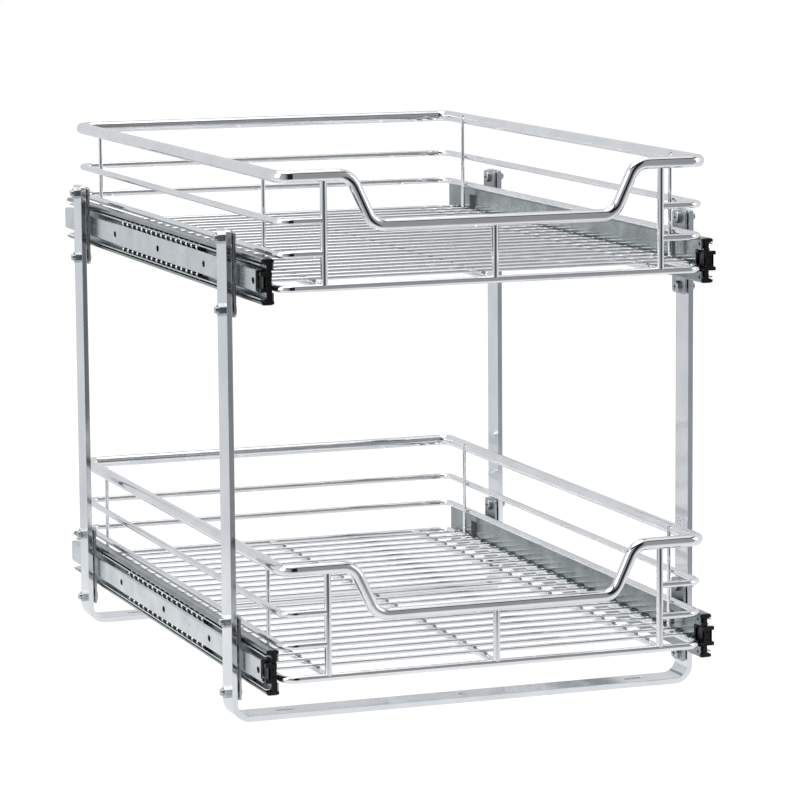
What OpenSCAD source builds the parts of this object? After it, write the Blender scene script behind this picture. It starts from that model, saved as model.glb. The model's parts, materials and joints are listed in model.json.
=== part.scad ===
// Two-tier pull out cabinet basket: two wire baskets on ball-bearing slides,
// hung between two U-shaped flat bar hoops that screw down to a cabinet floor.
// Millimetres. +X is right, the baskets pull out along -Y, +Z is up.
// The origin is the bottom centre of the whole object.

/* [Frame] */
// Width over the outer faces of the hoops
frame_w = 368; // [300:1:460]
// From the upper bolts up to the tips of the legs
leg_tip_rise = 6; // [5.5:0.5:20]
// Width of the flat bar, along the depth
bar_w = 23; // [20:1:32]
// Thickness of the flat bar
bar_t = 4; // [3:0.5:6]
// Outer bend radius of the two lower corners
hoop_bend_r = 14; // [10:1:20]
// Corner radius at the tips of the legs
leg_tip_r = 2.5; // [1:0.5:6]
// How far the front legs stand behind the front of the rim
front_leg_setback = 71; // [50:0.5:90]
// How far the rear legs stand in front of the back of the rim
rear_leg_setback = 63.5; // [40:0.5:90]

/* [Screw slots in the hoops] */
// Length of a slot from end to end
slot_l = 17; // [10:0.5:24]
// Width of a slot
slot_w = 5.5; // [4:0.5:7]
// From the outer face of a leg to the middle of a slot
slot_in = 44; // [35:0.5:60]
// Diameter of the centre screw hole
centre_hole_d = 5.5; // [4:0.5:7]

/* [Tiers] */
// Height of the middle of the lower rim
lower_rim_z = 122; // [121:1:150]
// Height from one basket to the next
tier_pitch = 282; // [250:1:300]
// From the middle of the rim down to the middle of the slides
slide_drop = 74.5; // [72:0.5:80]

/* [Basket] */
// Depth over the outside of the rim
basket_depth = 532; // [460:1:600]
// Diameter of the rim and handle rod
rim_d = 9; // [7:0.5:11]
// Bend radius of the rim corners, at the middle of the rod
rim_bend_r = 9; // [7:0.5:20]
// Diameter of the two side rails
rail_d = 5; // [4:0.1:6]
// Bend radius of the rail corners
rail_bend_r = 10; // [7:0.5:20]
// From the rim down to the high rail
high_rail_drop = 32; // [24:0.5:38]
// From the rim down to the low rail
low_rail_drop = 55.5; // [48:0.5:60]
// From the rim down to the floor rail
floor_drop = 79.7; // [76:0.1:90]
// Diameter of the floor rail
floor_rail_d = 5.4; // [5:0.1:6]
// Diameter of the front-to-back supports under the wires
support_d = 5; // [4:0.1:5]
// Diameter of the floor wires
wire_d = 3; // [2.4:0.1:3.6]
// Number of floor wires
wire_count = 23; // [13:1:24]
// From the middle of the rim at the front to the nearest floor wire
front_wire_in = 23; // [12:0.5:26]
// From the middle of the rim at the back to the nearest floor wire
rear_wire_in = 34; // [12:0.5:40]
// Diameter of the three front uprights
upright_d = 5.2; // [4:0.1:5.3]
// From the middle of the rim's side to an outer upright
upright_in = 33; // [28:0.5:38]
// Diameter of the four side stays
stay_d = 3; // [2.5:0.1:4]

/* [Handle] */
// How far the rim dips to make the handle
dip_drop = 36.8; // [30:0.1:40]
// From the middle of the rim's side to the straight, low part of the handle
handle_in = 79.1; // [72:0.1:100]
// Bend radius of the handle's four bends
dip_bend_r = 14; // [10:0.5:15]
// Slope of the rod between the bends, in degrees
dip_angle = 65; // [60:1:75]

/* [Slides] */
// Height of a closed slide
slide_h = 33.5; // [33:0.5:38]
// Thickness of a closed slide, from its plate to the basket
slide_t = 11; // [10.9:0.1:14]
// Thickness of the sheet that the channel and the fixed member are made of
sheet_t = 1.2; // [1:0.1:1.4]
// Thickness of the sheet that the middle member is made of
mid_t = 1; // [0.9:0.1:1.2]
// Bend radius of the outer corners of the channel
channel_corner_r = 2.2; // [1.6:0.1:3]
// Depth of the channel's open lips
lip_h = 2.6; // [1.8:0.1:2.6]
// How far the channel's front end stands behind the rim's middle
channel_setback = 6.5; // [5:0.5:12]
// How far the channel reaches past the middle of the rim at the back
channel_tail = 1.5; // [0:0.5:4]
// From the channel's front end to the fixed member's
fixed_setback = 8; // [6:0.5:14]
// From the channel's front end to the middle member's
mid_setback = 1; // [0.5:0.5:3]
// How far the middle member ends in front of the channel's rear end
mid_end_room = 9; // [4:0.5:14]
// Diameter of the outer bearing balls
outer_ball_d = 3.2; // [3:0.1:3.4]
// Diameter of the inner bearing balls
inner_ball_d = 3.5; // [3.3:0.1:3.7]
// Number of balls in one row
ball_count = 16; // [8:1:18]
// Distance from one ball to the next
ball_pitch = 13.1; // [10:0.1:15]
// How much shorter a basket's travel is than its channels
travel_loss = 78; // [70:1:200]

/* [Holes in the slides] */
// Length of a screw hole in the fixed member
fixed_hole_l = 6.5; // [5:0.5:8]
// Height of a screw hole in the fixed member
fixed_hole_h = 4.6; // [4:0.2:6]
// From the fixed member's rear end to the nearest of its four screw holes
last_hole_in = 150; // [100:1:200]
// Length of the window in the channel's web
window_l = 14; // [10:1:18]
// Height of the window in the channel's web
window_h = 11; // [9:1:13]

/* [Plates and fasteners] */
// Thickness of a slide plate
plate_t = 1.6; // [1.2:0.1:2]
// Corner radius of a slide plate
plate_corner_r = 3; // [1:0.5:5]
// From the edge of a slide to the middle of a bolt
bolt_clear = 9.5; // [8:0.5:12]
// From the middle of a bolt to the end of its plate
plate_edge = 5; // [4.5:0.5:9]
// Diameter of a bolt's shank
bolt_d = 5; // [4:0.5:6]
// Diameter of a bolt's pan head
bolt_head_d = 9; // [8:0.5:9.5]
// Height of a bolt's pan head
bolt_head_h = 3; // [2.4:0.1:3.5]
// How far a bolt stands out past its nut
bolt_end = 2; // [1:0.1:3]
// Width of a nut across its flats
nut_w = 8; // [7:0.5:10]
// Thickness of a nut
nut_h = 3.5; // [3:0.1:5]
// Diameter of the spacer washers behind the plates
washer_d = 11; // [9:0.5:13]
// Thickness of the spacer washers
washer_t = 1.6; // [1.4:0.1:3]
// Diameter of a rivet's shank
rivet_d = 3.2; // [2.4:0.1:4]
// Diameter of a rivet's head
rivet_head_d = 6; // [5:0.5:7]
// Thickness of a rivet's head
rivet_head_h = 0.9; // [0.6:0.1:1.1]

/* [Hidden] */
$fn = 48;
chrome = "gainsboro";
zinc = "lightsteelblue";
black = "dimgray";
left = -1;
right = 1;
eps = 0.01;
hole_gap = 0.1;       // radial play of a shank in its hole
running_gap = 0.05;   // radial play of a ball in its groove
groove_depth = 0.2;   // how deep a ball sits in each race

// heights of the two rims and of the legs
lower = lower_rim_z;
upper = lower + tier_pitch;
bolt_rise = slide_h / 2 + bolt_clear;
plate_h = 2 * (bolt_rise + plate_edge);
frame_h = upper - slide_drop + bolt_rise + leg_tip_rise;

// stack from the leg inwards
leg_in_x = frame_w / 2 - bar_t;
plate_out_x = leg_in_x - washer_t;
plate_in_x = plate_out_x - plate_t;
web_in_x = plate_in_x - slide_t;
rod_x = web_in_x - rail_d / 2;
floor_rail_x = web_in_x - floor_rail_d / 2;
upright_x = rod_x - upright_in;
slot_x = frame_w / 2 - slot_in;

// depth
back_y = basket_depth / 2 - rim_d / 2;
front_y = -back_y;
leg_ys = [front_y + front_leg_setback, back_y - rear_leg_setback];

// slide members and their travel
channel_front = front_y + channel_setback;
channel_l = back_y + channel_tail - channel_front;
fixed_front = channel_front + fixed_setback;
fixed_l = channel_l - fixed_setback;
mid_front = channel_front + mid_setback;
mid_l = channel_l - mid_setback - mid_end_room;
travel = channel_l - travel_loss;
first_hole = 5.5;     // from the fixed member's front end to its first screw hole
fixed_hole_pitch = (fixed_l - first_hole - last_hole_in) / 3;
front_window_in = 59.5; // from the rim's middle to the middle of the nearest window
rear_window_in = 54;
window_ys = [front_y + front_window_in, back_y - rear_window_in];
window_rise = 5;      // a window's middle, above the slide's
rivet_rise = 4.2;     // a rivet's place, up or down from the slide's middle
rivet_y = 6;          // and in front of or behind the leg's middle

// races, measured in the slide's own section: depth from the plate, height from its middle
channel_in_h = slide_h / 2 - sheet_t;
outer_ball_z = channel_in_h + groove_depth - outer_ball_d / 2;
mid_out_h = outer_ball_z + groove_depth - outer_ball_d / 2;
mid_in_h = mid_out_h - mid_t;
inner_ball_z = mid_in_h + groove_depth - inner_ball_d / 2;
fixed_h = 2 * (inner_ball_z + groove_depth - inner_ball_d / 2);
cage_t = 0.6;         // thickness of the ball cages
cage_gap = 0.6;       // room between a cage's web and the members beside it
lip_d = 1.6;          // gap between the plate and the channel's lips
outer_cage_d1 = slide_t - sheet_t - cage_gap;
mid_d1 = outer_cage_d1 - cage_t - cage_gap;
inner_cage_d1 = mid_d1 - mid_t - cage_gap;
fixed_d1 = inner_cage_d1 - cage_t - cage_gap;
mid_d0 = 1.2;         // depth of the middle member's open edges
inner_cage_d0 = 1.7;
outer_cage_d0 = 3.2;
inner_ball_depth = 3.2;
outer_ball_depth = 5.5;
inner_bend_r = 0.6;   // bend radius inside the fixed and the middle member
ball_notch = 1.4;     // how much wider than its ball a notch in a cage is
cage_l = ball_count * ball_pitch;
cage_end = 31.5;        // room between an end stop and the cage at full travel
cage_front = fixed_front + cage_end + travel / 4;

// floor: the wires rest on the supports and on the floor rail
floor_top_drop = floor_drop - floor_rail_d / 2;
support_drop = floor_top_drop + support_d / 2;
wire_drop = floor_top_drop - wire_d / 2;
first_wire_y = front_y + front_wire_in;
last_wire_y = back_y - rear_wire_in;
wire_pitch = (last_wire_y - first_wire_y) / (wire_count - 1);
stay_gap = 0.9;       // room between a front stay and the wire in front of it
front_stay_in = wire_pitch + (wire_d + stay_d) / 2 + stay_gap;
rear_stay_in = wire_pitch * 2 / 3;
stay_ys = [first_wire_y + front_stay_in, last_wire_y - rear_stay_in];
stay_x = rod_x - (rail_d + stay_d) / 2;
stay_top = 3;         // how far a stay climbs past the middle of the rim
joint_bite = 1.4;     // how far a coped end stops short of the other rod's middle

// handle bends
dip_straight = 2 * (rod_x - handle_in);
dip_slant = (dip_drop - 2 * dip_bend_r * (1 - cos(dip_angle))) / sin(dip_angle);
dip_run = 2 * dip_bend_r * sin(dip_angle) + dip_slant * cos(dip_angle);
dip_top_x = round(100 * (dip_straight / 2 + dip_run)) / 100;
bend_swell = 0.1;     // how much thicker the rod is where the slope meets its bends

// ---- rods ----
module rod_along_x(x0, x1, y, z, d) {
  translate([x0, y, z]) rotate([0, 90, 0]) cylinder(h = x1 - x0, d = d);
}

module rod_along_y(x, y0, y1, z, d) {
  translate([x, y1, z]) rotate([90, 0, 0]) cylinder(h = y1 - y0, d = d);
}

module rod_along_z(x, y, z0, z1, d) {
  translate([x, y, z0]) cylinder(h = z1 - z0, d = d);
}

// the children as drawn on the right, or mirrored to the left
module on_side(side) {
  mirror([side == left ? 1 : 0, 0, 0]) children();
}

// a bend of the given angle that starts on the +X axis
module bend(r, d, angle) {
  rotate_extrude(angle = angle) translate([r, 0]) circle(d = d);
}

// the back, the two sides and all four corners of a rectangle of rod
module three_sides(x, r, d, z) {
  rod_along_x(-x + r, x - r, back_y, z, d);
  for (side = [left, right]) {
    rod_along_y(side * x, front_y + r, back_y - r, z, d);
    on_side(side) {
      translate([x - r, back_y - r, z]) bend(r, d, 90);
      translate([x - r, front_y + r, z]) rotate([0, 0, -90]) bend(r, d, 90);
    }
  }
}

// ---- hoops ----
module rounded_square(w, h, r) {
  square([w - 2 * r, h], center = true);
  square([w, h - 2 * r], center = true);
  for (x = [-1, 1], y = [-1, 1])
    translate([x * (w / 2 - r), y * (h / 2 - r)]) circle(r = r);
}

// rounded at the bottom only, from z = 0 up to h
module trough(w, h, r) {
  translate([-w / 2 + r, 0]) square([w - 2 * r, h]);
  translate([-w / 2, r]) square([w, h - r]);
  for (x = [-1, 1]) translate([x * (w / 2 - r), r]) circle(r = r);
}

// a square corner less its round, to cut from the tip of a leg
module tip_cut(r) {
  difference() {
    translate([-r, -r]) square([2 * r, 2 * r]);
    translate([-r, -r]) circle(r = r);
  }
}

module hoop_blank() {
  rotate([90, 0, 0]) linear_extrude(height = bar_w, center = true) difference() {
    trough(frame_w, frame_h, hoop_bend_r);
    translate([0, bar_t]) trough(frame_w - 2 * bar_t, frame_h, hoop_bend_r - bar_t);
  }
}

module leg_tips() {
  for (end = [-1, 1])
    mirror([0, end == 1 ? 0 : 1, 0])
      translate([-frame_w, bar_w / 2, frame_h])
        rotate([90, 0, 90]) linear_extrude(height = 2 * frame_w) tip_cut(leg_tip_r);
}

module screw_slots() {
  depth = 3 * bar_t;
  for (side = [left, right])
    translate([side * slot_x, 0, -bar_t]) {
      translate([-(slot_l - slot_w) / 2, -slot_w / 2, 0]) cube([slot_l - slot_w, slot_w, depth]);
      for (end = [-1, 1])
        translate([end * (slot_l - slot_w) / 2, 0, 0]) cylinder(h = depth, d = slot_w);
    }
  translate([0, 0, -bar_t]) cylinder(h = depth, d = centre_hole_d);
}

module hoop(y) {
  color(chrome) translate([0, y, 0]) difference() {
    hoop_blank();
    leg_tips();
    screw_slots();
    for (tier = [upper, lower], rise = [-bolt_rise, bolt_rise])
      rod_along_x(-frame_w, frame_w, 0, tier - slide_drop + rise, bolt_d + 2 * hole_gap);
  }
}

// ---- places on the legs ----
// the children are drawn in a slide's section: +X is depth from the leg, +Z is up
module at_leg(tier, side, y, x) {
  translate([side * x, y, tier - slide_drop])
    mirror([side == right ? 1 : 0, 0, 0]) children();
}

module at_bolts() {
  for (tier = [upper, lower], side = [left, right], y = leg_ys, rise = [-bolt_rise, bolt_rise])
    at_leg(tier, side, y, frame_w / 2) translate([0, 0, rise]) rotate([0, 90, 0]) children();
}

module at_rivets(tier, side) {
  for (y = leg_ys, step = [-1, 1])
    at_leg(tier, side, y, plate_in_x) translate([0, step * rivet_y, step * rivet_rise])
      rotate([0, 90, 0]) children();
}

module plates(tier) {
  color(zinc) for (side = [left, right]) difference() {
    for (y = leg_ys)
      at_leg(tier, side, y, plate_out_x) rotate([90, 0, 90]) linear_extrude(height = plate_t)
        rounded_square(bar_w, plate_h, plate_corner_r);
    for (y = leg_ys, rise = [-bolt_rise, bolt_rise])
      at_leg(tier, side, y, plate_out_x + plate_t) translate([0, 0, rise])
        rotate([0, 90, 0]) cylinder(h = 3 * plate_t, d = bolt_d + 2 * hole_gap);
    at_rivets(tier, side)
      translate([0, 0, -2 * plate_t]) cylinder(h = 3 * plate_t, d = rivet_d);
  }
}

module plate_bolts() {
  stack = bar_t + washer_t + plate_t;
  recess = 1.6;       // depth of the cross recess
  cross_w = 1;        // width of its arms
  dome = 1.2;         // height of the head's rounded rim
  color(zinc) at_bolts() difference() {
    union() {
      translate([0, 0, -nut_h - bolt_end]) cylinder(h = stack + nut_h + bolt_end, d = bolt_d);
      translate([0, 0, stack]) cylinder(h = bolt_head_h - dome, d = bolt_head_d);
      translate([0, 0, stack + bolt_head_h - dome]) rotate_extrude() {
        square([bolt_head_d / 2 - dome, dome]);
        translate([bolt_head_d / 2 - dome, 0]) intersection() {
          circle(r = dome);
          square([dome, dome]);
        }
      }
    }
    for (turn = [0, 90])
      rotate([0, 0, turn]) translate([-bolt_d / 2, -cross_w / 2, stack + bolt_head_h - recess])
        cube([bolt_d, cross_w, recess + eps]);
  }
}

module plate_nuts() {
  color(zinc) at_bolts() translate([0, 0, -nut_h]) difference() {
    cylinder(h = nut_h, d = nut_w / cos(30), $fn = 6);
    translate([0, 0, -eps]) cylinder(h = nut_h + 2 * eps, d = bolt_d + hole_gap);
  }
}

module plate_washers() {
  color(zinc) at_bolts() translate([0, 0, bar_t]) difference() {
    cylinder(h = washer_t, d = washer_d);
    translate([0, 0, -eps]) cylinder(h = washer_t + 2 * eps, d = bolt_d + 2 * hole_gap);
  }
}

module slide_rivets() {
  color(zinc) for (tier = [upper, lower], side = [left, right]) at_rivets(tier, side) {
    translate([0, 0, -plate_t - rivet_head_h]) cylinder(h = rivet_head_h, d = rivet_head_d);
    translate([0, 0, -plate_t]) cylinder(h = plate_t + sheet_t, d = rivet_d);
    translate([0, 0, sheet_t]) cylinder(h = rivet_head_h, d = rivet_head_d);
  }
}

// ---- slide members ----
// the children are a flat section; it runs back from y = from over the length
module slide_bar(tier, side, from, length) {
  at_leg(tier, side, from + length, plate_in_x)
    rotate([90, 0, 0]) linear_extrude(height = length) children();
}

// a closed box section of bent sheet from depth d0 to d1; its user cuts it open
module box_section(d0, d1, h, t, r) {
  translate([(d0 + d1) / 2, 0]) difference() {
    rounded_square(d1 - d0, 2 * h, r);
    rounded_square(d1 - d0 - 2 * t, 2 * (h - t), r - t);
  }
}

module race(depth, height, ball_d) {
  for (row = [-1, 1]) translate([depth, row * height]) circle(d = ball_d + 2 * running_gap);
}

module channel(tier, side) {
  notch_h = 16;       // height of the notch that clears the bumper
  notch_l = 10;
  notch_r = 2;
  tool_hole_d = 2.6;
  tool_hole_y = 3.2;
  tool_hole_z = 12.4;
  color(zinc) difference() {
    slide_bar(tier, side, channel_front, channel_l) difference() {
      box_section(lip_d, slide_t, slide_h / 2, sheet_t, channel_corner_r);
      translate([lip_d, 0]) square([3 * sheet_t, slide_h - 2 * lip_h], center = true);
      race(outer_ball_depth, outer_ball_z, outer_ball_d);
    }
    channel_windows(tier, side, 2 * sheet_t);
    at_leg(tier, side, channel_front, plate_in_x) {
      translate([slide_t - 2 * sheet_t, -eps, 0]) rotate([90, 0, 90])
        linear_extrude(height = 3 * sheet_t) {
          rounded_square(2 * notch_l, notch_h, notch_r);
          for (z = [-tool_hole_z, tool_hole_z])
            translate([tool_hole_y, z]) circle(d = tool_hole_d);
        }
    }
  }
}

// places of the two windows in a channel's web, as solids of the given thickness
module channel_windows(tier, side, thickness) {
  for (y = window_ys)
    at_leg(tier, side, y, plate_in_x)
      translate([slide_t - sheet_t / 2 - thickness / 2, -window_l / 2, window_rise - window_h / 2])
        cube([thickness, window_l, window_h]);
}

module web_plugs(tier) {
  flange = 1.2;       // how far the plug's flange reaches past the window
  flange_t = 0.3;
  color(black) for (side = [left, right]) {
    channel_windows(tier, side, sheet_t);
    for (y = window_ys)
      at_leg(tier, side, y, plate_in_x)
        translate([slide_t - sheet_t - flange_t, -window_l / 2 - flange,
            window_rise - window_h / 2 - flange])
          cube([flange_t, window_l + 2 * flange, window_h + 2 * flange]);
  }
}

module mid_slide(tier, side) {
  color(zinc) slide_bar(tier, side, mid_front, mid_l) difference() {
    box_section(mid_d0 - 2 * mid_t, mid_d1, mid_out_h, mid_t, mid_t + inner_bend_r);
    translate([mid_d0 - 4 * mid_t, -mid_out_h]) square([4 * mid_t, 2 * mid_out_h]);
    race(outer_ball_depth, outer_ball_z, outer_ball_d);
    race(inner_ball_depth, inner_ball_z, inner_ball_d);
  }
}

// the moulded end piece of a channel: a body in front of the two narrower members with
// a tapered tail, a tongue behind the channel's notch, and stems to a pair of front bars
// with plugs in the ends of the channel's races
module bumper(tier, side) {
  body_h = 14.4;
  body_lead = 3;      // its front, ahead of the channel's front end
  frame_lead = 1.5;   // and that of the stems and the bars
  side_gap = 0.4;     // room to the plates' plane
  end_gap = 0.5;      // room to the middle member
  stop_gap = 1.5;     // room to the fixed member
  bar_gap = 0.3;      // room between a bar and the channel's front end
  recess_in = 1.8;    // hollow in the side that faces the plates
  recess_h = 9;
  waist_r = 14;       // and in the other side
  waist_in = 0.8;
  tail_h = 7.8;
  tongue_t = 0.7;
  tongue_lead = 1;
  tongue_l = 7;
  catch_h = 1.6;      // catches on the tongue, in the channel's notch
  catch_l = 3.5;
  stem_w = 3.4;
  bar_d0 = 2.2;
  bar_d1 = 10.8;
  bar_z = 13.9;
  bar_h = 2.1;
  plug_l = 16;
  slit_w = 1.2;
  slit_h = 8;
  rib_t = 0.8;
  rib_in = 1;
  plug_z = mid_out_h + end_gap;
  plug_d0 = lip_d + channel_corner_r;
  plug_d1 = slide_t - channel_corner_r;
  d0 = side_gap;
  tongue_d0 = mid_d1 + end_gap;
  d1 = tongue_d0 + tongue_t / 2;
  tail_d1 = mid_d1 - mid_t - end_gap;
  face_l = mid_setback - end_gap;
  tail_l = fixed_setback - stop_gap;
  color(black) at_leg(tier, side, channel_front, plate_in_x) difference() {
    union() {
      translate([0, face_l, 0]) rotate([90, 0, 0])
        linear_extrude(height = body_lead + face_l) difference() {
          translate([d0, -body_h / 2]) square([d1 - d0, body_h]);
          translate([d0 - recess_in, -recess_h / 2]) square([2 * recess_in, recess_h]);
          translate([d1 - waist_in + waist_r, 0]) circle(r = waist_r);
        }
      translate([d0 + recess_in, 0, 0]) rotate([90, 0, 90])
        linear_extrude(height = tail_d1 - d0 - recess_in)
          polygon([[0, body_h / 2], [face_l, body_h / 2], [tail_l, tail_h / 2],
            [tail_l, -tail_h / 2], [face_l, -body_h / 2], [0, -body_h / 2]]);
      translate([tongue_d0, -tongue_lead, -body_h / 2])
        cube([tongue_t, tongue_lead + tongue_l, body_h]);
      for (row = [-1, 1]) mirror([0, 0, row == 1 ? 0 : 1]) {
        translate([tongue_d0, tongue_l - catch_l / 2, body_h / 2 - catch_h])
          cube([slide_t - tongue_d0, catch_l, catch_h]);
        translate([plug_d1 - stem_w, -frame_lead, body_h / 2 - eps])
          cube([stem_w, frame_lead + face_l, plug_z - body_h / 2 + 2 * eps]);
        translate([plug_d0, -frame_lead, plug_z])
          cube([plug_d1 - plug_d0, frame_lead + plug_l, channel_in_h - plug_z]);
        translate([bar_d0, -frame_lead, bar_z]) cube([bar_d1 - bar_d0, frame_lead - bar_gap, bar_h]);
      }
    }
    translate([fixed_d1 / 2, -body_lead - eps, -slit_h / 2])
      cube([slit_w, body_lead + fixed_setback, slit_h]);
    for (z = [-body_h / 5, body_h / 5])
      translate([fixed_d1 / 2 + 2 * slit_w, -body_lead - eps, z - rib_t / 2])
        cube([d1 - waist_in - fixed_d1 / 2 - 3 * slit_w, rib_in, rib_t]);
  }
}

module fixed_slide(tier, side) {
  dimple_d = 2.2;
  dimple_t = 0.4;
  dimple_y = 174;     // behind the member's front end
  dimple_rise = 1;
  hole_corner_r = 1.9;
  color(zinc) difference() {
    slide_bar(tier, side, fixed_front, fixed_l) difference() {
      box_section(0, fixed_d1 + 2 * sheet_t, fixed_h / 2, sheet_t, sheet_t + inner_bend_r);
      translate([fixed_d1, -fixed_h / 2]) square([4 * sheet_t, fixed_h]);
      race(inner_ball_depth, inner_ball_z, inner_ball_d);
    }
    at_leg(tier, side, fixed_front, plate_in_x) translate([-sheet_t, 0, 0])
      rotate([90, 0, 90]) linear_extrude(height = 3 * sheet_t)
        for (i = [0:3]) translate([first_hole + i * fixed_hole_pitch, 0])
          rounded_square(fixed_hole_l, fixed_hole_h, hole_corner_r);
    at_leg(tier, side, fixed_front, plate_in_x) translate([-eps, dimple_y, dimple_rise])
      rotate([0, 90, 0]) cylinder(h = dimple_t, d = dimple_d);
    at_rivets(tier, side)
      translate([0, 0, -plate_t]) cylinder(h = 4 * plate_t, d = rivet_d);
  }
}

// ---- ball cages ----
module cage(tier, side, d0, d1, row_z, depth, ball_d) {
  notch = ball_d + ball_notch;
  color(black) difference() {
    slide_bar(tier, side, cage_front, cage_l) {
      translate([d1 - cage_t, -row_z - cage_t / 2]) square([cage_t, 2 * row_z + cage_t]);
      for (row = [-1, 1])
        translate([d0, row * row_z - cage_t / 2]) square([d1 - d0, cage_t]);
    }
    for (i = [0:ball_count - 1], row = [-1, 1])
      at_leg(tier, side, cage_front + (i + 0.5) * ball_pitch, plate_in_x)
        translate([d0 - eps, -notch / 2, row * row_z - cage_t])
          cube([depth - d0 + notch / 2, notch, 2 * cage_t]);
  }
}

module balls(tier, side, row_z, depth, ball_d) {
  color(chrome) for (i = [0:ball_count - 1], row = [-1, 1])
    at_leg(tier, side, cage_front + (i + 0.5) * ball_pitch, plate_in_x)
      translate([depth, 0, row * row_z]) sphere(d = ball_d);
}

module inner_cage(tier, side) {
  cage(tier, side, inner_cage_d0, inner_cage_d1, inner_ball_z, inner_ball_depth, inner_ball_d);
}

module outer_cage(tier, side) {
  cage(tier, side, outer_cage_d0, outer_cage_d1, outer_ball_z, outer_ball_depth, outer_ball_d);
}

module inner_balls(tier, side) {
  balls(tier, side, inner_ball_z, inner_ball_depth, inner_ball_d);
}

module outer_balls(tier, side) {
  balls(tier, side, outer_ball_z, outer_ball_depth, outer_ball_d);
}

// ---- baskets ----
module rim(z) {
  color(chrome) translate([0, 0, z]) {
    three_sides(rod_x, rim_bend_r, rim_d, 0);
    rod_along_x(-dip_straight / 2, dip_straight / 2, front_y, -dip_drop, rim_d);
    for (side = [left, right]) on_side(side) {
      rod_along_x(dip_top_x, rod_x - rim_bend_r, front_y, 0, rim_d);
      translate([dip_straight / 2, front_y, dip_bend_r - dip_drop])
        rotate([90, 0, 0]) rotate([0, 0, -90]) bend(dip_bend_r, rim_d, dip_angle);
      translate([dip_straight / 2 + dip_bend_r * sin(dip_angle), front_y,
          dip_bend_r * (1 - cos(dip_angle)) - dip_drop])
        rotate([0, 90 - dip_angle, 0]) {
          cylinder(h = dip_slant, d = rim_d);
          for (end = [0, dip_slant]) translate([0, 0, end]) sphere(d = rim_d + bend_swell);
        }
      translate([dip_top_x, front_y, -dip_bend_r])
        rotate([90, 0, 0]) rotate([0, 0, 90]) bend(dip_bend_r, rim_d, dip_angle);
    }
  }
}

// a side rail stops against the outer uprights
module rail(z) {
  color(chrome) difference() {
    union() {
      three_sides(rod_x, rail_bend_r, rail_d, z);
      for (side = [left, right]) on_side(side)
        rod_along_x(upright_x + joint_bite, rod_x - rail_bend_r, front_y, z, rail_d);
    }
    for (side = [left, right])
      rod_along_z(side * upright_x, front_y, z - rail_d, z + rail_d, upright_d);
  }
}

module floor_rail(z) {
  color(chrome) {
    three_sides(floor_rail_x, rail_bend_r, floor_rail_d, z - floor_drop);
    rod_along_x(-floor_rail_x + rail_bend_r, floor_rail_x - rail_bend_r, front_y,
      z - floor_drop, floor_rail_d);
  }
}

module floor_wires(z) {
  color(chrome) for (i = [0:wire_count - 1])
    rod_along_x(-web_in_x, web_in_x, first_wire_y + i * wire_pitch, z - wire_drop, wire_d);
}

module floor_supports(z) {
  color(chrome) difference() {
    for (x = [-upright_x, 0, upright_x])
      rod_along_y(x, front_y + joint_bite, back_y - joint_bite, z - support_drop, support_d);
    for (y = [front_y, back_y])
      rod_along_x(-rod_x, rod_x, y, z - floor_drop, floor_rail_d);
    for (x = [-upright_x, 0, upright_x])
      rod_along_z(x, front_y, z - floor_drop, z, upright_d);
  }
}

module uprights(z) {
  foot_z = z - floor_drop + joint_bite;
  color(chrome) difference() {
    union() {
      for (side = [left, right])
        rod_along_z(side * upright_x, front_y, foot_z, z - joint_bite, upright_d);
      rod_along_z(0, front_y, foot_z, z - dip_drop - joint_bite, upright_d);
    }
    for (side = [left, right])
      on_side(side) rod_along_x(dip_top_x, rod_x, front_y, z, rim_d);
    rod_along_x(-dip_straight / 2, dip_straight / 2, front_y, z - dip_drop, rim_d);
    rod_along_x(-rod_x, rod_x, front_y, z - floor_drop, floor_rail_d);
  }
}

module side_stays(z) {
  color(chrome) difference() {
    for (side = [left, right], y = stay_ys)
      rod_along_z(side * stay_x, y, z - floor_drop, z + stay_top, stay_d);
    for (side = [left, right]) {
      rod_along_y(side * rod_x, front_y, back_y, z, rim_d);
      rod_along_y(side * floor_rail_x, front_y, back_y, z - floor_drop, floor_rail_d);
    }
  }
}

hoop(leg_ys[0]);  // front_hoop
hoop(leg_ys[1]);  // rear_hoop
plates(upper);  // upper_plates
plates(lower);  // lower_plates
plate_bolts();
plate_nuts();
plate_washers();
slide_rivets();
fixed_slide(upper, left);  // upper_left_fixed_slide
fixed_slide(upper, right);  // upper_right_fixed_slide
fixed_slide(lower, left);  // lower_left_fixed_slide
fixed_slide(lower, right);  // lower_right_fixed_slide
mid_slide(upper, left);  // upper_left_mid_slide
mid_slide(upper, right);  // upper_right_mid_slide
mid_slide(lower, left);  // lower_left_mid_slide
mid_slide(lower, right);  // lower_right_mid_slide
bumper(upper, left);  // upper_left_bumper
bumper(upper, right);  // upper_right_bumper
bumper(lower, left);  // lower_left_bumper
bumper(lower, right);  // lower_right_bumper
inner_cage(upper, left);  // upper_left_inner_cage
inner_cage(upper, right);  // upper_right_inner_cage
inner_cage(lower, left);  // lower_left_inner_cage
inner_cage(lower, right);  // lower_right_inner_cage
inner_balls(upper, left);  // upper_left_inner_balls
inner_balls(upper, right);  // upper_right_inner_balls
inner_balls(lower, left);  // lower_left_inner_balls
inner_balls(lower, right);  // lower_right_inner_balls
outer_cage(upper, left);  // upper_left_outer_cage
outer_cage(upper, right);  // upper_right_outer_cage
outer_cage(lower, left);  // lower_left_outer_cage
outer_cage(lower, right);  // lower_right_outer_cage
outer_balls(upper, left);  // upper_left_outer_balls
outer_balls(upper, right);  // upper_right_outer_balls
outer_balls(lower, left);  // lower_left_outer_balls
outer_balls(lower, right);  // lower_right_outer_balls
channel(upper, left);  // upper_left_channel
channel(upper, right);  // upper_right_channel
channel(lower, left);  // lower_left_channel
channel(lower, right);  // lower_right_channel
web_plugs(upper);  // upper_web_plugs
web_plugs(lower);  // lower_web_plugs
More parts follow.
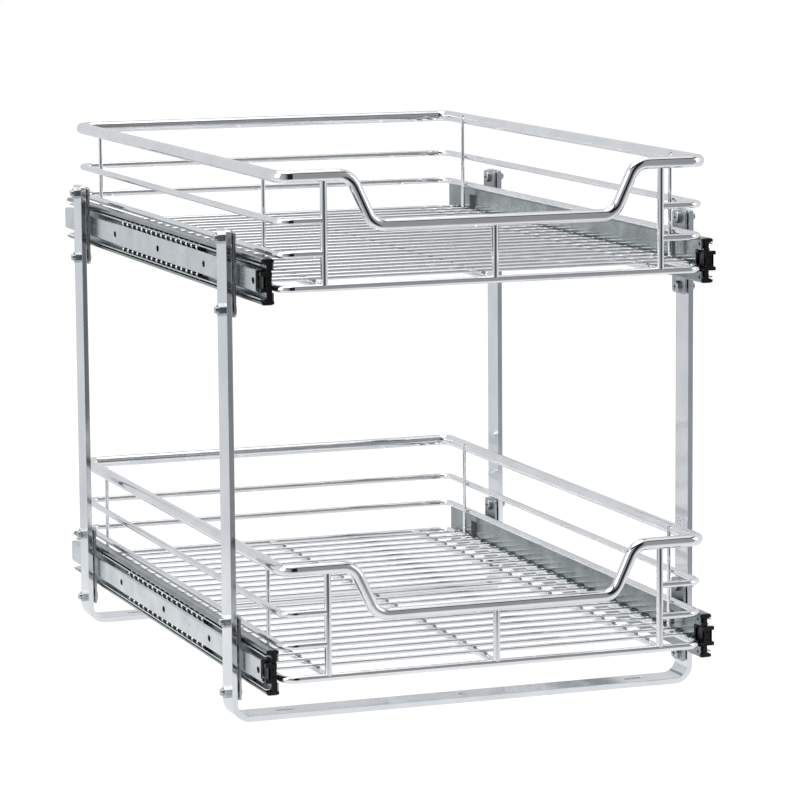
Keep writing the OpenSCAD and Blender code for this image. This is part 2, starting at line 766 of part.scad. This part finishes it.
rim(upper);  // upper_rim
rim(lower);  // lower_rim
rail(upper - high_rail_drop);  // upper_high_rail
rail(lower - high_rail_drop);  // lower_high_rail
rail(upper - low_rail_drop);  // upper_low_rail
rail(lower - low_rail_drop);  // lower_low_rail
floor_rail(upper);  // upper_floor_rail
floor_rail(lower);  // lower_floor_rail
floor_wires(upper);  // upper_floor_wires
floor_wires(lower);  // lower_floor_wires
floor_supports(upper);  // upper_floor_supports
floor_supports(lower);  // lower_floor_supports
uprights(upper);  // upper_uprights
uprights(lower);  // lower_uprights
side_stays(upper);  // upper_side_stays
side_stays(lower);  // lower_side_stays
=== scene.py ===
import json
import math

import bpy
from mathutils import Matrix, Vector


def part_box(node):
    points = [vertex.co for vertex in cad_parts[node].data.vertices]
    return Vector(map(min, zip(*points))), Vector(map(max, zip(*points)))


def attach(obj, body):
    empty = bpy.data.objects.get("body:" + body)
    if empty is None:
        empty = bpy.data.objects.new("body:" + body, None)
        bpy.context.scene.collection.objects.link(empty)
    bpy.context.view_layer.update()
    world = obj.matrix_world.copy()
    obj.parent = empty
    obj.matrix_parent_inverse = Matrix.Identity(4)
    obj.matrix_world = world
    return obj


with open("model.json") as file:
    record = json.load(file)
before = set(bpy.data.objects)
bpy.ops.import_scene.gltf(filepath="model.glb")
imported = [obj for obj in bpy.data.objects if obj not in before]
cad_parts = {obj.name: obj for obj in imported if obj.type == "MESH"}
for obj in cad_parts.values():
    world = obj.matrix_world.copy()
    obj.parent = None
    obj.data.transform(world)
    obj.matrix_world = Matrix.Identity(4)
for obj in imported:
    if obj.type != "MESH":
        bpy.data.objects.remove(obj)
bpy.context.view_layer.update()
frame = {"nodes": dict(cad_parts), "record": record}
mm = 0.001  # one millimetre in Blender's metres

# ---- camera ----
camera = {
    "place": (-1.0004, -2.7813, 0.6332),
    "azimuth": 20.19,     # degrees to the left of straight in front
    "downward": 8.32,
    "roll": -0.44,
    "lens": 170.28,
    "sensor": 36.0,
}


def makeCamera(values):
    azimuth, downward = math.radians(values["azimuth"]), math.radians(values["downward"])
    forward = Vector((math.sin(azimuth) * math.cos(downward), math.cos(azimuth) * math.cos(downward),
                      -math.sin(downward)))
    right = forward.cross(Vector((0, 0, 1))).normalized()
    up = right.cross(forward)
    roll = math.radians(values["roll"])
    across = right * math.cos(roll) + up * math.sin(roll)
    upward = up * math.cos(roll) - right * math.sin(roll)
    data = bpy.data.cameras.new("camera")
    data.lens = values["lens"]
    data.sensor_width = values["sensor"]
    data.clip_end = 50
    thing = bpy.data.objects.new("camera", data)
    bpy.context.collection.objects.link(thing)
    turn = Matrix((across, upward, -forward)).transposed()
    thing.matrix_world = Matrix.Translation(values["place"]) @ turn.to_4x4()
    bpy.context.scene.camera = thing


makeCamera(camera)
bpy.context.scene.view_settings.view_transform = "Standard"
print("camera placed")


# ---- small helpers ----
def linear(hexColour):
    # sRGB hex to the linear colour that the shaders take
    parts = [int(hexColour[i:i + 2], 16) / 255 for i in (1, 3, 5)]
    return tuple(c / 12.92 if c <= 0.04045 else ((c + 0.055) / 1.055) ** 2.4 for c in parts) + (1,)


def addNode(tree, kind, settings=None, links=None):
    # adds one node, sets its values and joins its inputs to other nodes' outputs
    node = tree.nodes.new("ShaderNode" + kind)
    for name, value in (settings or {}).items():
        if name == "stops":
            while len(node.color_ramp.elements) < len(value):
                node.color_ramp.elements.new(1)
            for stop, (position, colour) in zip(node.color_ramp.elements, value):
                stop.position = position
                stop.color = linear(colour)
        elif isinstance(name, int) or name in node.inputs:
            node.inputs[name].default_value = value
        else:
            setattr(node, name, value)
    for name, output in (links or {}).items():
        tree.links.new(output, node.inputs[name])
    return node


def newMaterial(name):
    material = bpy.data.materials.new(name)
    material.use_nodes = True
    material.node_tree.nodes.clear()
    return material, material.node_tree


# ---- finishes ----
# sizes in a look are in mm: "cloud" and "grain" are patches of tone, "line" the streaks along
# x, y and z, and "edge" the radius of a softened edge
surface = {
    "bumpDepth": 0.05,
    "bevelSamples": 4,
    "metalNoise": (0.3, 0.7),     # the noise levels that give the darkest and the lightest tone
    "plasticNoise": (0.35, 0.75),
    "cloudDetail": 3.0,
    "lineDetail": 2.0,
    "grainDetail": 4.0,
}


def platedMetal(name, look):
    # a metal with a cloudy tone, fine lines along its rolling direction and a faint ripple
    first, last = surface["metalNoise"]
    material, tree = newMaterial(name)
    place = addNode(tree, "TexCoord").outputs["Object"]
    cloud = addNode(tree, "TexNoise", {"Scale": 1 / (look["cloud"] * mm),
                                       "Detail": surface["cloudDetail"]}, {"Vector": place})
    tone = addNode(tree, "ValToRGB", {"stops": [(first, look["dark"]), (last, look["light"])]},
                   {"Fac": cloud.outputs["Fac"]})
    spread = addNode(tree, "Mapping", {"Scale": tuple(1 / (size * mm) for size in look["line"])},
                     {"Vector": place})
    lines = addNode(tree, "TexNoise", {"Scale": 1.0, "Detail": surface["lineDetail"]},
                    {"Vector": spread.outputs["Vector"]})
    low, high = look["roughness"]
    rough = addNode(tree, "MapRange", {"From Min": first, "From Max": last, "To Min": low,
                                       "To Max": high}, {"Value": lines.outputs["Fac"]})
    bump = addNode(tree, "Bump", {"Strength": look["bump"], "Distance": surface["bumpDepth"] * mm},
                   {"Height": lines.outputs["Fac"]})
    if "edge" in look:  # a rounded edge catches a line of light
        rounded = addNode(tree, "Bevel", {"samples": surface["bevelSamples"],
                                          "Radius": look["edge"] * mm})
        tree.links.new(rounded.outputs["Normal"], bump.inputs["Normal"])
    shader = addNode(tree, "BsdfPrincipled", {"Metallic": 1.0},
                     {"Base Color": tone.outputs["Color"], "Roughness": rough.outputs["Result"],
                      "Normal": bump.outputs["Normal"]})
    addNode(tree, "OutputMaterial", None, {"Surface": shader.outputs["BSDF"]})
    return material


def mouldedPlastic(name, look):
    # matt from the mould's spark-eroded face, a little shinier where it is rubbed
    first, last = surface["plasticNoise"]
    material, tree = newMaterial(name)
    place = addNode(tree, "TexCoord").outputs["Object"]
    grain = addNode(tree, "TexNoise", {"Scale": 1 / (look["grain"] * mm),
                                       "Detail": surface["grainDetail"]}, {"Vector": place})
    tone = addNode(tree, "ValToRGB", {"stops": [(first, look["dark"]), (last, look["light"])]},
                   {"Fac": grain.outputs["Fac"]})
    low, high = look["roughness"]
    rough = addNode(tree, "MapRange", {"To Min": low, "To Max": high}, {"Value": grain.outputs["Fac"]})
    bump = addNode(tree, "Bump", {"Strength": look["bump"], "Distance": surface["bumpDepth"] * mm},
                   {"Height": grain.outputs["Fac"]})
    shader = addNode(tree, "BsdfPrincipled", {"Specular IOR Level": look["sheen"]},
                     {"Base Color": tone.outputs["Color"], "Roughness": rough.outputs["Result"],
                      "Normal": bump.outputs["Normal"]})
    addNode(tree, "OutputMaterial", None, {"Surface": shader.outputs["BSDF"]})
    return material


finishes = {
    # bright nickel-chrome on drawn rod: mirror-like, with a faint orange-peel ripple
    "chrome_rod": platedMetal("chromePlatedRod", {
        "dark": "#E4E5E7", "light": "#F0F1F2", "cloud": 30, "line": (2.5, 2.5, 2.5),
        "roughness": (0.04, 0.08), "bump": 0.1}),
    # the same plating on rolled flat bar, with fine drawing lines up the legs
    "chrome_flat_bar": platedMetal("chromePlatedFlatBar", {
        "dark": "#DCDFE3", "light": "#E9EBEE", "cloud": 40, "line": (1.2, 1.2, 60),
        "roughness": (0.08, 0.16), "bump": 0.12, "edge": 0.7}),
    # zinc with a clear blue passivate: satin, bluish and a little cloudy
    "zinc_plate": platedMetal("bluePassivatedZincSheet", {
        "dark": "#A7ADB1", "light": "#C2C7CA", "cloud": 9, "line": (3, 3, 3),
        "roughness": (0.28, 0.4), "bump": 0.2, "edge": 0.3}),
    # the same zinc on the bolts, nuts, washers and rivets, brighter where a driver rubs it
    "zinc_fastener": platedMetal("bluePassivatedZincScrew", {
        "dark": "#A2A8AC", "light": "#C6CBCE", "cloud": 4, "line": (1, 1, 1),
        "roughness": (0.2, 0.32), "bump": 0.2}),
    # zinc on roll-formed sheet, in a darker tone than the fixed and middle members: lines run along the
    # slide
    "zinc_slide": platedMetal("rollFormedZincSheet", {
        "dark": "#7D8584", "light": "#9BA3A2", "cloud": 25, "line": (0.8, 80, 0.8),
        "roughness": (0.14, 0.26), "bump": 0.2, "edge": 0.3}),
    # the fixed and middle members: the same zinc sheet with a painted lighter tone, a painted highlight
    # for the light they catch, so that they show lighter than the channels
    "zinc_slide_painted_lighter": platedMetal("zincSheetPaintedLighter", {
        "dark": "#C3C9CC", "light": "#DCE1E4", "cloud": 25, "line": (0.8, 80, 0.8),
        "roughness": (0.14, 0.26), "bump": 0.2, "edge": 0.3}),
    # plating over a weld: uneven and darker, so that the joints read as dots
    "weld": platedMetal("platedWeldBead", {
        "dark": "#6E7175", "light": "#B6B9BC", "cloud": 2, "line": (0.6, 0.6, 0.6),
        "roughness": (0.12, 0.3), "bump": 0.3}),
    # hardened balls, polished to a mirror
    "bearing_steel": platedMetal("polishedBearingSteel", {
        "dark": "#D8DADD", "light": "#E6E8EA", "cloud": 3, "line": (1, 1, 1),
        "roughness": (0.06, 0.1), "bump": 0.05}),
    # dull black, so that the balls stand out of their cages
    "black_cage": mouldedPlastic("blackNylonCage", {
        "dark": "#060607", "light": "#0E0E0F", "grain": 0.6, "roughness": (0.4, 0.55), "bump": 0.3,
        "sheen": 0.25}),
    # a little glossier, for a soft light on the bumpers' edges
    "black_plastic": mouldedPlastic("blackAcetalMoulding", {
        "dark": "#070708", "light": "#101011", "grain": 0.5, "roughness": (0.3, 0.5), "bump": 0.35,
        "sheen": 0.3}),
}
slotOf = {part["node"]: part["material_slot"] for part in frame["record"]["subparts"]}
for nodeName, thing in frame["nodes"].items():
    thing.data.materials.clear()
    # the fixed and middle members take the copy of the slide zinc with the painted lighter tone
    innerPaintedLighter = nodeName.endswith(("fixed_slide", "mid_slide"))
    thing.data.materials.append(finishes["zinc_slide_painted_lighter" if innerPaintedLighter else slotOf[nodeName]])
print("finishes set on", len(slotOf), "nodes")


# ---- weld beads ----
welds = {
    "wireCount": 23,
    "size": (3.4, 4.6, 2.2),  # mm: across, along and up from the support
    "steps": 10,              # corners round a bead
}


def addBead(vertices, faces, centre, size, steps):
    # one flattened ball: rings from the bottom to the top
    start = len(vertices)
    rings = steps // 2
    halfX, halfY, halfZ = (extent / 2 for extent in size)
    for ring in range(1, rings):
        up = math.pi * ring / rings
        for step in range(steps):
            turn = math.tau * step / steps
            vertices.append((centre[0] + halfX * math.sin(up) * math.cos(turn),
                             centre[1] + halfY * math.sin(up) * math.sin(turn),
                             centre[2] - halfZ * math.cos(up)))
    for ring in range(rings - 2):
        for step in range(steps):
            beside = (step + 1) % steps
            row, above = start + ring * steps, start + (ring + 1) * steps
            faces.append((row + step, row + beside, above + beside, above + step))
    last = start + (rings - 2) * steps
    vertices += [(centre[0], centre[1], centre[2] - halfZ), (centre[0], centre[1], centre[2] + halfZ)]
    for step in range(steps):
        beside = (step + 1) % steps
        faces.append((start + beside, start + step, len(vertices) - 2))
        faces.append((last + step, last + beside, len(vertices) - 1))


def makeFloorWelds(tier, values):
    # a squeezed bead where each floor wire crosses one of the three supports
    low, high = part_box(tier + "_floor_wires")
    wireD = high[2] - low[2]
    supportLow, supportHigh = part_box(tier + "_floor_supports")
    supportD = low[2] - supportLow[2]
    side = supportHigh[0] - supportD / 2
    size = [extent * mm for extent in values["size"]]
    pitch = (high[1] - low[1] - wireD) / (values["wireCount"] - 1)
    vertices, faces = [], []
    for index in range(values["wireCount"]):
        y = low[1] + wireD / 2 + index * pitch
        for x in (-side, 0, side):
            addBead(vertices, faces, (x, y, low[2]), size, values["steps"])
    mesh = bpy.data.meshes.new(tier + "_floor_welds")
    mesh.from_pydata(vertices, [], faces)
    for face in mesh.polygons:
        face.use_smooth = True
    mesh.materials.append(finishes["weld"])
    beads = bpy.data.objects.new(tier + "_floor_welds", mesh)
    bpy.context.collection.objects.link(beads)
    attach(beads, tier + "_basket")


for tierName in ("upper", "lower"):
    makeFloorWelds(tierName, welds)
print("weld beads made")


# ---- studio ----
studio = {
    "floorSize": 12.0,    # metres, like the distances below
    "floorDrop": 0.0001,  # under the hoops, so that the two faces don't mix
    "floorNear": 0.35,    # the metal sees a white floor to here
    "floorFar": 0.8,      # and from here on the room's panels
    "floorWhite": "#F4F5F6",
    "floorGlow": 1.12,    # light from the floor to the camera, which keeps it white
    "glowShare": 0.85,    # the rest takes the object's faint shadow
}


def makeFloor(values):
    half = values["floorSize"] / 2
    mesh = bpy.data.meshes.new("studioFloor")
    level = -values["floorDrop"]
    corners = [(-half, -half, level), (half, -half, level), (half, half, level), (-half, half, level)]
    mesh.from_pydata(corners, [], [(0, 1, 2, 3)])
    floor = bpy.data.objects.new("studioFloor", mesh)
    bpy.context.collection.objects.link(floor)
    material, tree = newMaterial("paintedSweep")
    place = addNode(tree, "TexCoord").outputs["Object"]
    far = addNode(tree, "VectorMath", {"operation": "LENGTH"}, {0: place})
    fade = addNode(tree, "MapRange", {"interpolation_type": "SMOOTHSTEP",
                                      "From Min": values["floorNear"], "From Max": values["floorFar"]},
                   {"Value": far.outputs["Value"]})
    ray = addNode(tree, "LightPath")
    matt = addNode(tree, "BsdfDiffuse", {"Color": linear("#FFFFFF")})
    white = addNode(tree, "Emission", {"Color": (1, 1, 1, 1), "Strength": values["floorGlow"]})
    shown = addNode(tree, "MixShader", {0: values["glowShare"]},
                    {1: matt.outputs["BSDF"], 2: white.outputs["Emission"]})
    pale = addNode(tree, "Emission", {"Color": linear(values["floorWhite"]), "Strength": 1.0})
    clear = addNode(tree, "BsdfTransparent")
    mirrored = addNode(tree, "MixShader", None,
                       {0: fade.outputs["Result"], 1: pale.outputs["Emission"], 2: clear.outputs["BSDF"]})
    forMetal = addNode(tree, "MixShader", None, {0: ray.outputs["Is Glossy Ray"],
                                                 1: matt.outputs["BSDF"], 2: mirrored.outputs["Shader"]})
    both = addNode(tree, "MixShader", None, {0: ray.outputs["Is Camera Ray"],
                                             1: forMetal.outputs["Shader"], 2: shown.outputs["Shader"]})
    addNode(tree, "OutputMaterial", None, {"Surface": both.outputs["Shader"]})
    mesh.materials.append(material)


# the room as the metal sees it
room = {
    # its panels by bearing: degrees from straight in front, to the right
    "panels": [(-180, "#DCDEE0"), (-140, "#DEE0E2"), (-130, "#E4E6E8"), (-74, "#E6E8EA"),
               (-64, "#B8BABC"), (-34, "#A2A4A7"), (-24, "#808285"), (-17, "#74767A"),
               (-14, "#1E2024"), (13, "#222428"), (18, "#96989B"), (42, "#A4A6A9"),
               (52, "#F0F1F2"), (105, "#ECEDEE"), (125, "#DCDEE0"), (180, "#DCDEE0")],
    "trim": "#303236",          # a dark strip in front, between the panels and the ceiling
    "ceiling": "#FAFBFB",
    # where each begins and is complete, as the part of a direction that points forward or up
    "trimForward": (-0.1, 0.2),
    "trimUp": (0.7, 0.74),
    "ceilingUp": (0.83, 0.87),
}


def makeWorld(values):
    # white for the camera, and for the metal a room of pale and dark panels under a bright ceiling
    world = bpy.data.worlds.new("studio")
    bpy.context.scene.world = world
    world.use_nodes = True
    tree = world.node_tree
    tree.nodes.clear()

    def fade(limits, output):
        ends = {"From Min": limits[0], "From Max": limits[1]}
        return addNode(tree, "MapRange", ends, {"Value": output}).outputs["Result"]

    place = addNode(tree, "TexCoord").outputs["Generated"]
    way = addNode(tree, "SeparateXYZ", None, {"Vector": place})
    forward = addNode(tree, "Math", {"operation": "MULTIPLY", 1: -1.0}, {0: way.outputs["Y"]})
    bearing = addNode(tree, "Math", {"operation": "ARCTAN2"},
                      {0: way.outputs["X"], 1: forward.outputs["Value"]})
    turn = fade((-math.pi, math.pi), bearing.outputs["Value"])
    stops = [((angle + 180) / 360, tone) for angle, tone in values["panels"]]
    panels = addNode(tree, "ValToRGB", {"stops": stops}, {"Fac": turn})
    inFront = fade(values["trimForward"], forward.outputs["Value"])
    above = fade(values["trimUp"], way.outputs["Z"])
    strip = addNode(tree, "Math", {"operation": "MULTIPLY"}, {0: inFront, 1: above})
    trimmed = addNode(tree, "Mix", {"data_type": "RGBA", 7: linear(values["trim"])},
                      {0: strip.outputs["Value"], 6: panels.outputs["Color"]})
    ceiling = fade(values["ceilingUp"], way.outputs["Z"])
    whole = addNode(tree, "Mix", {"data_type": "RGBA", 7: linear(values["ceiling"])},
                    {0: ceiling, 6: trimmed.outputs[2]})
    ray = addNode(tree, "LightPath")
    shown = addNode(tree, "Mix", {"data_type": "RGBA", 7: (1, 1, 1, 1)},
                    {0: ray.outputs["Is Camera Ray"], 6: whole.outputs[2]})
    background = addNode(tree, "Background", {"Strength": 1.0}, {"Color": shown.outputs[2]})
    addNode(tree, "OutputWorld", None, {"Surface": background.outputs["Background"]})


# place, aim and size in metres, power in watts
lamps = {
    "overhead": {"place": (-0.3, 0.2, 2.4), "aim": (0, 0, 0.2), "size": (2.2, 1.6), "power": 28},
    "leftSide": {"place": (-2.4, -0.6, 1.3), "aim": (0, 0, 0.25), "size": (1.4, 1.8), "power": 20},
    "rightFill": {"place": (2.2, -1.6, 1.2), "aim": (0, 0, 0.25), "size": (1.0, 1.4), "power": 10},
}


def makeLamp(name, values):
    data = bpy.data.lights.new(name, "AREA")
    data.shape = "RECTANGLE"
    data.size, data.size_y = values["size"]
    data.energy = values["power"]
    lamp = bpy.data.objects.new(name, data)
    bpy.context.collection.objects.link(lamp)
    lamp.location = values["place"]
    lamp.rotation_mode = "QUATERNION"
    lamp.rotation_quaternion = (Vector(values["aim"]) - lamp.location).to_track_quat("-Z", "Y")


makeFloor(studio)
makeWorld(room)
for lampName, lampValues in lamps.items():
    makeLamp(lampName, lampValues)
print("studio lit")
